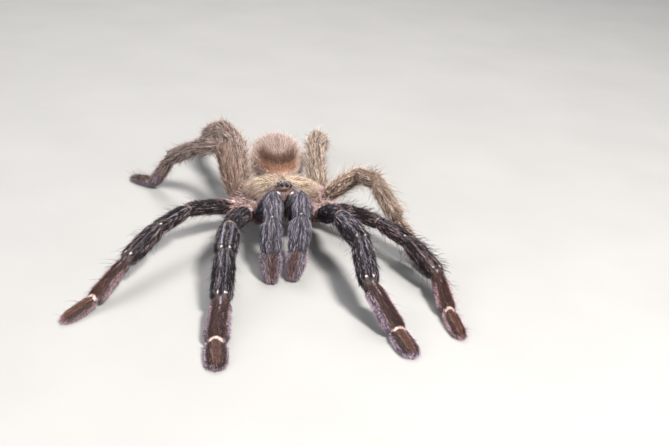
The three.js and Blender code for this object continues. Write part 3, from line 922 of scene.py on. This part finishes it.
def face_marks(side):
    """Chelicerae: slate, rust-red hair at the base and a bare glossy bump near the middle, painted near-white
    as a highlight.
    """
    def marks(share, turn):
        found = plain_marks("chelicera", "chelicera_pale", "chelicera")(share, turn)
        base = smooth(share, 0.44, 0.32)
        red = colour("face_red")
        blend(found, base, pale=red * 1.3, dark=red * 0.5)
        blend(found, 0.8 * base, skin=red * 0.5)
        off = np.degrees(turn) + BOSS_HIGHLIGHT_ANGLE * side
        near = smooth(np.abs((off + 180) % 360 - 180), 22, 15)
        # The glossy bump: bare, and painted near-white as a highlight.
        boss_painted_highlight = window(share, 0.325, 0.385, 0.012) * near
        blend(found, boss_painted_highlight, skin="spot")
        found.update(picked=0.1 + 0.6 * streaks(share, turn, 31), length=1 - 0.5 * base,
                     bare=window(share, 0.31, 0.42, 0.015) * near, gloss=np.maximum(boss_painted_highlight, 0.4))
        return found

    return marks


def everywhere(share, turn):
    return np.ones_like(share)


def between_eyes(points, reach):
    """0 under the lenses and out to some of their radii, 1 further off."""
    clear = np.ones(len(points))
    for x, y, z, radius in EYES.values():
        for side in (-1, 1):
            centre = from_prosoma((side * x, TUBERCLE["y"] + y, TUBERCLE["z"] + z))
            clear *= smooth(np.linalg.norm(points - centre, axis=1), radius * (reach - 0.3), radius * reach)
    return clear


def mound_marks(at):
    """The mound of the eyes: dark, with white hair, bare in its middle and pinkish below the lenses."""
    def marks(share, turn):
        points = at(share, turn) - from_prosoma((0, TUBERCLE["y"], TUBERCLE["z"]))
        found = plain_marks("coxa_dark", "eye_hair", "mound", 0.3, 0.7)(share, turn)
        front = smooth(points[:, 1], -0.3, -0.7)
        below = front * smooth(points[:, 2], 0.25, 0.0)
        blend(found, 0.5 * below, skin="clypeus")
        blend(found, below, pale="clypeus")
        found["bare"] = front * smooth(np.abs(points[:, 0]), 0.34, 0.24) * (1 - below)
        return found

    return marks


def from_face(points):
    """Hair round the eyes points up and back, and away from the middle."""
    return points * (0.5, 0, 0) + (0, 0.5, 0.8)


COXA_OUTLINE = ((0, 0.8), (0.3, 1), (0.6, 0.97), (0.7, 0.84), (0.76, 0.72), (0.84, 0.8), (0.95, 0.76),
                (1, 0.62))
SPINNERET_OUTLINE = ((0, 1), (0.3, 0.98), (0.36, 0.8), (0.42, 0.86), (0.6, 0.84), (0.66, 0.64), (0.72, 0.7),
                     (0.9, 0.6), (1, 0.1))
# The glossy bump of each chelicera, painted near-white as a highlight, sits at this angle.
BOSS_HIGHLIGHT_ANGLE = 26  # degrees from the top of a chelicera towards the other one


def coxa_marks(share, turn):
    """Coxae and trochanters: pinkish tan, with pale bare joints."""
    found = plain_marks("coxa_dark", "coxa_pale", "coxa_skin")(share, turn)
    under = smooth(from_top(turn), 90, 130)
    blend(found, 0.6 * under, dark="sternum")
    blend(found, 0.7 * under, pale="coxa_dark")
    joint = window(share, 0.7, 0.78, 0.03)
    blend(found, 0.6 * joint, skin="membrane")
    found.update(bare=joint * 0.5, gloss=0.3 * joint)
    return found


def spinneret(side):
    start = np.array([side * SPINNERET["x"], SPINNERET["y"], SPINNERET["z"]])
    splay, lift = np.radians(SPINNERET["splay"]), np.radians(SPINNERET["lift"])
    way = np.array([side * np.sin(splay), np.cos(splay) * np.cos(lift), np.sin(lift)])
    girth = SPINNERET["radius"] - 0.12
    return tube(start, start + way * SPINNERET["length"], None, None, (girth, girth), SPINNERET_OUTLINE)


def body_parts():
    on_carapace = [("carapace", lambda share, turn: smooth(share, 0.55, 0.5) * (1 - brow(share, turn))),
                   ("brow", brow)]
    on_abdomen = [("abdomen_front", abdomen_front),
                  ("abdomen", lambda share, turn: 1 - abdomen_front(share, turn)),
                  ("halo", lambda share, turn: 1 - 0.8 * abdomen_front(share, turn))]
    sternum = egg((0, 0, STERNUM["z"]), np.array(STERNUM["half"]) - BODY_COAT["sternum"])
    parts = [Part("carapace", "coat_carapace", carapace_at, fixed(from_prosoma((0, 0, 0.3))), from_fovea,
                  carapace_marks, on_carapace, 60, 96, carapace_flow),
             Part("abdomen", "coat_abdomen", abdomen_at, fixed((0, ABDOMEN["y"], ABDOMEN["z"])), over_abdomen,
                  abdomen_marks, on_abdomen, 60, 60),
             Part("sternum", "coat_underside", *sternum, plain_marks("sternum", "coxa_dark", "coxa_skin"),
                  [("underside", everywhere)])]
    for side_name, side in SIDES.items():
        for limb, (root, end) in HIPS.items():
            start = from_prosoma((side * root[0], root[1], COXA["z"]))
            stop = from_prosoma(np.array(end) * (side, 1, 1))
            girth = COXA["girth"] - BODY_COAT["coxa"]
            parts.append(Part(f"coxa_{limb}_{side_name}", "coat_underside",
                              *tube(start, stop, None, None, (girth, girth), COXA_OUTLINE),
                              coxa_marks, [("coxa", everywhere)]))
        half = np.array(CHELICERA["half"]) - BODY_COAT["chelicera"]
        shape = egg((side * CHELICERA["x"], CHELICERA["y"], CHELICERA["z"]), half, CHELICERA["droop"],
                    CHELICERA["swell"])
        parts.append(Part(f"chelicera_{side_name}", "coat_face", *shape, face_marks(side),
                          [("face", everywhere)]))
        # A small knob on each chelicera's glossy bump, painted near-white as a highlight.
        spot = shape[0](np.array([0.35]), np.radians([-BOSS_HIGHLIGHT_ANGLE * side]))[0]
        parts.append(knob(f"chelicera_{side_name}_boss", spot, (0.2, 0.16, 0.3), "boss_painted_highlight"))
        marks = plain_marks("spinneret", "abdomen_pale", "spinneret")
        parts.append(Part(f"spinneret_{side_name}", "coat_abdomen", *spinneret(side), marks,
                          [("short", everywhere)], 24, 20))
    at, core, _ = egg((0, TUBERCLE["y"], TUBERCLE["z"]), np.array(TUBERCLE["half"]) - 0.1)
    parts.append(Part("mound", "coat_face", at, core, from_face, mound_marks(at), [("mound", everywhere)]))
    start, stop = (np.array([0, PEDICEL[k], PEDICEL["z"]]) for k in ("from", "to"))
    girth = PEDICEL["radius"] - 0.1
    shape = tube(start, stop, None, None, (girth, girth), ((0, 0.9), (0.5, 1), (1, 0.9)))
    parts.append(Part("pedicel", "coat_underside", *shape, plain_marks("coxa_dark", "coxa_pale", "coxa_skin"),
                      [("underside", everywhere)]))
    return parts


# ---------- Coats: layers of tufts ----------


@dataclass
class Layer:
    """Tufts of one kind: how many per square millimetre, their length and width, the angle at which
    they leave the skin and how much it changes at each ring, their sideways spread in degrees, how
    many rings each has, and how much their tips are lightened."""

    per_mm2: float
    length: float
    width: float
    lean: float
    droop: float
    spread: float
    rings: int
    tip: float = 0.0


def fur(dense, length, lean, spread, long_hairs=0.7):
    """A short dense coat, longer hair over it, and a few fine hairs that stand out."""
    return (Layer(dense, length, 0.085, lean, -6, spread, 1),
            Layer(dense * 0.36, length * 1.5, 0.07, lean + 6, -11, spread, 2),
            Layer(long_hairs, length * 2.1, 0.045, lean + 28, -14, spread + 14, 2, 0.3))


COATS = {
    "palp": fur(30, 1.2, 10, 4, 0.3),
    "front": fur(28, 1.25, 10, 5, 0.9),
    "front_metatarsus": fur(28, 1.05, 10, 5, 0.4),
    "front_tarsus": fur(28, 0.75, 11, 5, 0.2),
    "rear": fur(30, 1.15, 18, 12, 1.8),
    "guard": (Layer(3.6, 3.0, 0.055, 46, -16, 20, 3),),
    "pad": (Layer(46, 0.66, 0.085, 54, -4, 10, 1, 0.2), Layer(16, 0.78, 0.06, 60, -6, 12, 1, 0.6)),
    "carapace": (Layer(36, 1.7, 0.08, 8, -5, 4, 1), Layer(15, 2.4, 0.07, 12, -8, 5, 2),
                 Layer(0.5, 2.2, 0.045, 38, -14, 18, 2, 0.3)),
    "brow": (Layer(30, 0.45, 0.07, 12, -6, 10, 1),),
    "abdomen": fur(30, 1.4, 20, 14, 1.0),
    "abdomen_front": fur(48, 0.6, 24, 22, 0.4),
    "halo": (Layer(8, 2.2, 0.035, 54, -18, 20, 2, 0.5),),
    "underside": fur(12, 1.0, 24, 22),
    "coxa": fur(24, 0.8, 24, 24, 1.0),
    "face": fur(24, 0.8, 10, 9, 0.3),
    "mound": (Layer(26, 0.36, 0.08, 34, -8, 20, 1), Layer(7, 0.8, 0.05, 50, -6, 26, 2, 0.3)),
    "short": (Layer(14, 0.7, 0.1, 20, -8, 20, 1),),
}
LOCK_WIDTH = 0.24  # locks of tufts that share a tone and a direction
LOCK_LENGTH = 2.0
LOCK_TIE = 0.7  # how far the tone of a tuft follows its lock
SOFT_TIE = 0.35
SOFT_PARTS = ("abdomen", "leg_3", "leg_4", "palp")  # their tufts form only faint locks
# How far single tufts vary from their layer's own values.
VARIATION = {"length": (0.7, 1.25), "width": (0.7, 1.3), "lean": (0.6, 1.5), "droop": (0.5, 1.5),
             "shade": (0.8, 1.2)}
ROOT_DEPTH = 0.08  # how far below the skin a tuft starts
ROOT_SHADE = 0.5  # how much darker a tuft is at its root than at its tip
PATCH = 0.003  # size of a tuft's patch on the map
FLOOR_CLEARANCE = 0.02


def tuft_faces(rings):
    """Triangles of one tuft: a closed base, rings of three corners and a tip."""
    faces = [(0, 1, 2)]
    for k in range(rings - 1):
        for a, b in ((1, 0), (2, 1), (0, 2)):
            near_a, near_b = 3 * k + a, 3 * k + b
            faces += [(near_a, near_b, near_b + 3), (near_a, near_b + 3, near_a + 3)]
    last = 3 * (rings - 1)
    faces += [(last + a, last + b, last + 3) for a, b in ((1, 0), (2, 1), (0, 2))]
    return np.array(faces)


def locks(part, share, turn, rng):
    """A random value from 0 to 1 for the lock that each root belongs to."""
    if part.flow is not None:
        lanes, rows = 97, 31
        values = rng.random((lanes, rows))
        across, along = part.flow(part.at(share, turn))
        lane = np.floor(across / LOCK_WIDTH).astype(int) % lanes
        return values[lane, (along / LOCK_LENGTH + values[lane, 0]).astype(int) % rows]
    line = part.at(np.linspace(0, 1, 24), np.zeros(24))
    ring = part.at(np.full(24, 0.5), np.linspace(0, 2 * np.pi, 24))
    length, round_it = (np.linalg.norm(np.diff(points, axis=0), axis=1).sum() for points in (line, ring))
    lanes = max(int(round_it / LOCK_WIDTH), 3)
    values = rng.random((lanes, int(length / LOCK_LENGTH) + 2))
    lane = np.floor(turn / (2 * np.pi) * lanes + 0.25 * np.sin(9 * share)).astype(int) % lanes
    row = (share * length / LOCK_LENGTH + values[lane, 0]).astype(int)
    return values[lane, row % values.shape[1]]


def grow(part, layer, weight, column, columns, rng):
    """The tufts of one layer on one part: vertices, faces, colours and places on the map."""
    def thinned(share, turn):
        return weight(share, turn) * (1 - part.marks(share, turn)["bare"])

    def varied(name):
        return rng.uniform(*VARIATION[name], count)

    share, turn = scatter(part, layer.per_mm2, thinned, rng)
    count = len(share)
    points, normal, lie = part.frame_at(share, turn)
    marks = part.marks(share, turn)
    side = np.cross(lie, normal)
    lock = rng.random(count) if part.name == "abdomen" else locks(part, share, turn, rng)
    swing = np.radians(rng.normal(0, layer.spread, count) * 0.7 + (lock - 0.5) * 2 * layer.spread)[:, None]
    lie = lie * np.cos(swing) + side * np.sin(swing)
    side = np.cross(lie, normal)
    length = (layer.length * varied("length") * marks["length"])[:, None]
    width = (layer.width * varied("width"))[:, None]
    angle = np.radians(layer.lean * varied("lean"))[:, None]
    droop = np.radians(layer.droop * varied("droop"))[:, None]
    shade = (varied("shade") * (0.8 + 0.4 * (lock * 7 % 1)))[:, None]
    tied = SOFT_TIE if part.name.startswith(SOFT_PARTS) else LOCK_TIE
    picked = tied * lock + (1 - tied) * rng.random(count) < 0.1 + 0.8 * marks["picked"]
    tone = np.where(picked[:, None], marks["pale"], marks["dark"]) * shade
    rings = layer.rings
    vertices = np.empty((count, 3 * rings + 1, 3))
    tones = np.empty((count, 3 * rings + 1, 3))
    spots = np.empty((count, 3 * rings + 1, 2))
    centre = points - normal * ROOT_DEPTH
    for k in range(rings):
        level = k / rings
        heading = lie * np.cos(angle) + normal * np.sin(angle)
        rising = normal * np.cos(angle) - lie * np.sin(angle)
        half = width / 2 * (1 - 0.5 * level ** 2)
        vertices[:, 3 * k] = centre - side * half
        vertices[:, 3 * k + 1] = centre + side * half
        vertices[:, 3 * k + 2] = centre + rising * half * 1.1
        tones[:, 3 * k:3 * k + 3] = (tone * (ROOT_SHADE + (1 - ROOT_SHADE) * level))[:, None]
        spots[:, 3 * k:3 * k + 3] = np.array([[0, level], [1, level], [0.5, level + 0.15]])
        centre = centre + heading * length / rings
        angle = angle + droop
    vertices[:, -1] = centre
    tones[:, -1] = tone * (1 + layer.tip)
    spots[:, -1] = (0.5, 1)
    vertices[..., 2] = np.maximum(vertices[..., 2], FLOOR_CLEARANCE)
    across = (column + 0.04 + 0.92 * np.clip(share, 0, 1)) / columns
    up = 0.02 + 0.94 * ((turn / (2 * np.pi)) % 1)
    spots = np.stack([across, up], 1)[:, None] + spots * PATCH
    faces = tuft_faces(rings)[None] + (np.arange(count) * (3 * rings + 1))[:, None, None]
    return vertices.reshape(-1, 3), faces.reshape(-1, 3), tones.reshape(-1, 3), spots.reshape(-1, 2)


def build_mesh(name, vertices, faces, material):
    """A smooth mesh object of triangles, from arrays in millimetres."""
    mesh = bpy.data.meshes.new(name)
    mesh.vertices.add(len(vertices))
    mesh.vertices.foreach_set("co", place(vertices).astype(np.float32).ravel())
    mesh.loops.add(faces.size)
    mesh.loops.foreach_set("vertex_index", faces.astype(np.int32).ravel())
    mesh.polygons.add(len(faces))
    mesh.polygons.foreach_set("loop_start", (np.arange(len(faces)) * faces.shape[1]).astype(np.int32))
    mesh.polygons.foreach_set("use_smooth", np.ones(len(faces), bool))
    mesh.update(calc_edges=True)
    return add_object(name, mesh, material)


def paint(item, name, tones):
    """Stores a colour for each vertex."""
    layer = item.data.color_attributes.new(name, "FLOAT_COLOR", "POINT")
    rgba = np.concatenate([tones, np.ones((len(tones), 1))], 1)
    layer.data.foreach_set("color", rgba.astype(np.float32).ravel())


def joined(shapes):
    """Several sets of vertices, faces and other arrays as one set."""
    vertices, faces, *others = zip(*shapes)
    starts = np.cumsum([0] + [len(points) for points in vertices[:-1]])
    faces = [triangles + start for triangles, start in zip(faces, starts)]
    return [np.concatenate(rows) for rows in (vertices, faces, *others)]


def add_coat(piece, parts, seed, material):
    """All the tufts of one piece."""
    rng = np.random.default_rng(seed)
    vertices, faces, tones, spots = joined(
        grow(part, layer, weight, column, len(parts), rng)
        for column, part in enumerate(parts) for coat, weight in part.zones for layer in COATS[coat])
    item = build_mesh(piece, vertices, faces, material)
    paint(item, "coat", tones)
    uv = item.data.uv_layers.new(name="OFBake")
    uv.data.foreach_set("uv", spots[faces.ravel()].astype(np.float32).ravel())
    print(piece, len(faces), "triangles")
    return item


# ---------- Skin ----------

SKIN_VOXEL = 0.26


def add_skin(parts, material):
    """One skin round all the parts: their surfaces joined, remeshed and smoothed."""
    vertices, faces, total = [], [], 0
    for part in parts:
        rings, quads, caps = part.grid()
        vertices.append(rings)
        faces += (quads + total).tolist() + (caps + total).tolist()
        total += len(rings)
    mesh = bpy.data.meshes.new("skin_parts")
    mesh.from_pydata(np.concatenate(vertices).tolist(), [], faces)
    rough = add_object("skin_parts", mesh)
    remesh = rough.modifiers.new("join", "REMESH")
    remesh.mode = "VOXEL"
    remesh.voxel_size = SKIN_VOXEL
    soften = rough.modifiers.new("soften", "SMOOTH")
    soften.factor = 0.5
    soften.iterations = 3
    tight = bpy.data.meshes.new_from_object(rough.evaluated_get(bpy.context.evaluated_depsgraph_get()))
    bpy.data.objects.remove(rough)
    spots = np.empty(len(tight.vertices) * 3, np.float32)
    tight.vertices.foreach_get("co", spots)
    spots = spots.reshape(-1, 3).astype(float)
    tight.vertices.foreach_set("co", place(spots).astype(np.float32).ravel())
    tight.polygons.foreach_set("use_smooth", np.ones(len(tight.polygons), bool))
    tight.update()
    tight.name = "skin"
    tight.materials.clear()
    item = add_object("skin", tight, material)
    tones, gloss = skin_marks(parts, spots)
    paint(item, "skin", tones)
    shine = tight.attributes.new("gloss", "FLOAT", "POINT")
    shine.data.foreach_set("value", gloss.astype(np.float32))
    return item


def skin_marks(parts, spots):
    """Colour and gloss of each skin vertex, from the part whose surface is nearest to it."""
    share, turn = pairs(np.linspace(0.005, 0.995, 60), np.arange(64) / 64 * 2 * np.pi)
    tree = KDTree(len(parts) * len(share))
    for i, sample in enumerate(np.concatenate([part.at(share, turn) for part in parts])):
        tree.insert(sample, i)
    tree.balance()
    owner, sample = np.divmod([tree.find(spot)[1] for spot in spots], len(share))
    tones, gloss = np.zeros((len(spots), 3)), np.zeros(len(spots))
    for number, part in enumerate(parts):
        own = owner == number
        if own.any():
            marks = part.marks(share[sample[own]], turn[sample[own]])
            tones[own], gloss[own] = marks["skin"], marks["gloss"]
    return tones, gloss


# ---------- Eyes, fangs and claws ----------


# One domed lens in its dark rim: radii and heights of its outline, from its middle outwards.
LENS_OUTLINE = ((0, 1), (0.3, 0.954), (0.56, 0.83), (0.78, 0.62), (0.93, 0.36), (1, 0.08), (1.08, 0.1),
                (1.14, -0.05), (1.1, -0.3), (0.8, -0.5), (0, -0.55))
LENS_SIDES = 28


def ringed(centres, radii, first, second, sides, ends):
    """Vertices and triangles of rings round some centres, each in the plane of its two directions."""
    turn = np.arange(sides) / sides * 2 * np.pi
    rings = [centre + radius * (np.cos(turn)[:, None] * a + np.sin(turn)[:, None] * b)
             for centre, radius, a, b in zip(centres, radii, first, second)]
    vertices, quads, caps = closed(np.concatenate(rings), sides, ends)
    return vertices, np.vstack([quads[:, :3], quads[:, [0, 2, 3]], caps])


def lens(centre, radius, facing):
    """One lens, turned about the facing direction."""
    facing = unit(np.array(facing, float))
    right = unit(np.cross(facing, (0.02, 0.1, 1)))
    up = np.cross(right, facing)
    radii, heights = np.array(LENS_OUTLINE).T * radius
    centres = centre + heights[:, None] * facing
    rows = len(radii) - 2
    return ringed(centres[1:-1], radii[1:-1], [right] * rows, [up] * rows, LENS_SIDES, centres[[0, -1]])


def add_eyes(material):
    shapes = []
    for x, y, z, radius in EYES.values():
        for side in (-1, 1):
            out = np.array([side * x, y, z])
            spot = out + (0, TUBERCLE["y"], TUBERCLE["z"])
            facing = out / np.array(TUBERCLE["half"]) ** 2
            middle = from_prosoma(spot - unit(facing) * radius * 0.35)
            shapes.append(lens(middle, radius, turned_x(facing, -PROSOMA_NOSE_UP)))
    return build_mesh("eyes_lenses", *joined(shapes), material)


def hook(points, radii, sides=14):
    """A closed curved horn through a list of points."""
    ways = unit(np.gradient(points, axis=0))
    side = unit(np.cross(ways, (1, 0, 0)))
    return ringed(points, radii, side, np.cross(ways, side), sides, points[[0, -1]])


def add_fang(side_name, side, material):
    share = np.linspace(0, 1, 14)
    points = np.stack([np.full_like(share, side * FANG["x"]), FANG["y"] + share * FANG["length"],
                       FANG["z"] - FANG["curl"] * 4 * share * (1 - share)], 1)
    radii = FANG["root"] * (1 - share) ** 0.6 + 0.04
    return build_mesh(f"fang_{side_name}_horn", *hook(from_prosoma(points), radii), material)


CLAW = {"apart": 0.22, "length": 0.75, "height": 0.45, "drop": 0.42, "root": 0.09}


def add_claws(material):
    """The pair of small hooked claws at the tip of every foot."""
    shapes = []
    for side_name, side in SIDES.items():
        for limb in HIPS:
            joints = limb_joints(limb, side, POSES[f"{limb}_{side_name}"])
            way, across, _ = axes_of(joints[-1] - joints[-2])
            for lateral in (-CLAW["apart"], CLAW["apart"]):
                share = np.linspace(0, 1, 8)[:, None]
                start = joints[-1] - way * CLAW["length"] + across * lateral + (0, 0, CLAW["height"])
                points = start + way * CLAW["length"] * share - np.array([0, 0, CLAW["drop"]]) * share ** 2.2
                shapes.append(hook(points, CLAW["root"] * (1 - share[:, 0]) ** 0.6 + 0.015, 8))
    return build_mesh("claws", *joined(shapes), material)


# ---------- The whole animal ----------


def add_floor():
    far = 3.0
    mesh = bpy.data.meshes.new("floor")
    corners = [(-far, -far, 0), (far, -far, 0), (far, far, 0), (-far, far, 0)]
    mesh.from_pydata(corners, [], [(0, 1, 2, 3)])
    floor = add_object("floor", mesh, floor_material())


add_camera()
add_lights()
add_floor()

hair = coat_material()
horn = horn_material()
parts = limb_parts() + body_parts()

skin = add_skin(parts, skin_material())
flesh = [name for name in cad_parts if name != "eyes" and not name.startswith("fang_")]
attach(skin, "root")
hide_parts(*flesh)

for number, piece in enumerate(sorted({part.piece for part in parts if part.piece})):
    coat = add_coat(piece, [part for part in parts if part.piece == piece], 100 + number, hair)
    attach(coat, "root")

eyes = add_eyes(lens_material())
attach(eyes, "root")
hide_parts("eyes")

for side_name, side in SIDES.items():
    fang = add_fang(side_name, side, horn)
    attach(fang, "root")
    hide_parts(f"fang_{side_name}")

claws = add_claws(horn)
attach(claws, "root")
